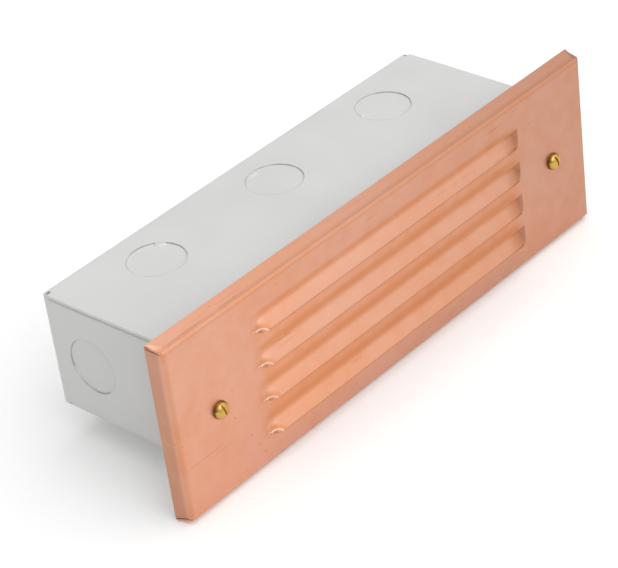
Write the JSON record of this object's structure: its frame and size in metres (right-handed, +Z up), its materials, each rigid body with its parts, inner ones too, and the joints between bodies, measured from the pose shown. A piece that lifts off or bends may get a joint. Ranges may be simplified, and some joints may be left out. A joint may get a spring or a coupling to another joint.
{
  "type": "recessed step light",
  "caption": "Recessed brick-size step light: folded white steel box with conduit knockouts behind a copper pan-shaped faceplate with down-facing louvres.",
  "frame": {"origin": "centre of the housing's flat back face", "axes": "+X along the plate to the right seen from the front, +Y into the wall out of the back face, +Z up"},
  "size_m": [0.2346, 0.0807, 0.0744],
  "materials": {
    "white_powder_coat": "smooth semi-matte white powder coat on folded steel",
    "satin_copper": "bare satin copper sheet with faint drawing marks",
    "brass": "plain turned brass",
    "zinc_steel": "bright zinc plate",
    "green_screw": "green dyed plating of a grounding screw",
    "white_reflector": "gloss white enamel on sheet",
    "black_phenolic": "moulded heat-resistant plastic",
    "clear_glass": "clear blown glass",
    "tungsten": "drawn tungsten wire",
    "tinned_wire": "tinned wire",
    "aluminium_rivet": "plain aluminium",
    "white_nylon": "moulded natural nylon",
    "black_lead": "silicone insulation",
    "white_lead": "silicone insulation",
    "frosted_lens": "frosted diffusing sheet",
    "grey_foam": "closed-cell foam"
  },
  "bodies": {
    "housing": {"housing_box": "white_powder_coat", "screw_ear_left": "zinc_steel", "screw_ear_right": "zinc_steel", "tray_standoffs": "zinc_steel", "tray_screws": "zinc_steel", "ground_boss": "zinc_steel", "ground_screw": "green_screw", "reflector_tray": "white_reflector", "lampholder_left": "black_phenolic", "lampholder_right": "black_phenolic", "holder_contacts_left": "brass", "holder_contacts_right": "brass", "holder_rivets": "aluminium_rivet", "terminal_block": "white_nylon", "terminal_tubes": "brass", "terminal_screws": "zinc_steel", "block_screw": "zinc_steel", "leads_black": "black_lead", "leads_white": "white_lead"},
    "faceplate": {"faceplate": "satin_copper", "diffuser_lens": "frosted_lens", "gasket": "grey_foam"},
    "face_screw_left": {"face_screw_left": "brass"},
    "face_screw_right": {"face_screw_right": "brass"},
    "lamp_left": {"lamp_glass_left": "clear_glass", "lamp_filament_left": "tungsten", "lamp_contacts_left": "tinned_wire"},
    "lamp_right": {"lamp_glass_right": "clear_glass", "lamp_filament_right": "tungsten", "lamp_contacts_right": "tinned_wire"}
  },
  "joints": [
    {"name": "faceplate_lift", "type": "slide", "parent": "housing", "child": "faceplate", "axis": [0, -1, 0], "range_m": [0, 0.01588]},
    {"name": "left_screw_turn", "type": "hinge", "parent": "faceplate", "child": "face_screw_left", "pos_m": [-0.09525, -0.0773, 0], "axis": [0, -1, 0], "range_deg": [0, 7200]},
    {"name": "right_screw_turn", "type": "hinge", "parent": "faceplate", "child": "face_screw_right", "pos_m": [0.09525, -0.0773, 0], "axis": [0, -1, 0], "range_deg": [0, 7200]},
    {"name": "left_lamp_pull", "type": "slide", "parent": "housing", "child": "lamp_left", "axis": [1, 0, 0], "range_m": [0, 0.01]},
    {"name": "right_lamp_pull", "type": "slide", "parent": "housing", "child": "lamp_right", "axis": [-1, 0, 0], "range_m": [0, 0.01]}
  ],
  "couplings": [
    {"joint": "left_screw_turn", "follows": "faceplate_lift", "rad_per_m": 7915.8},
    {"joint": "right_screw_turn", "follows": "faceplate_lift", "rad_per_m": 7915.8}
  ]
}
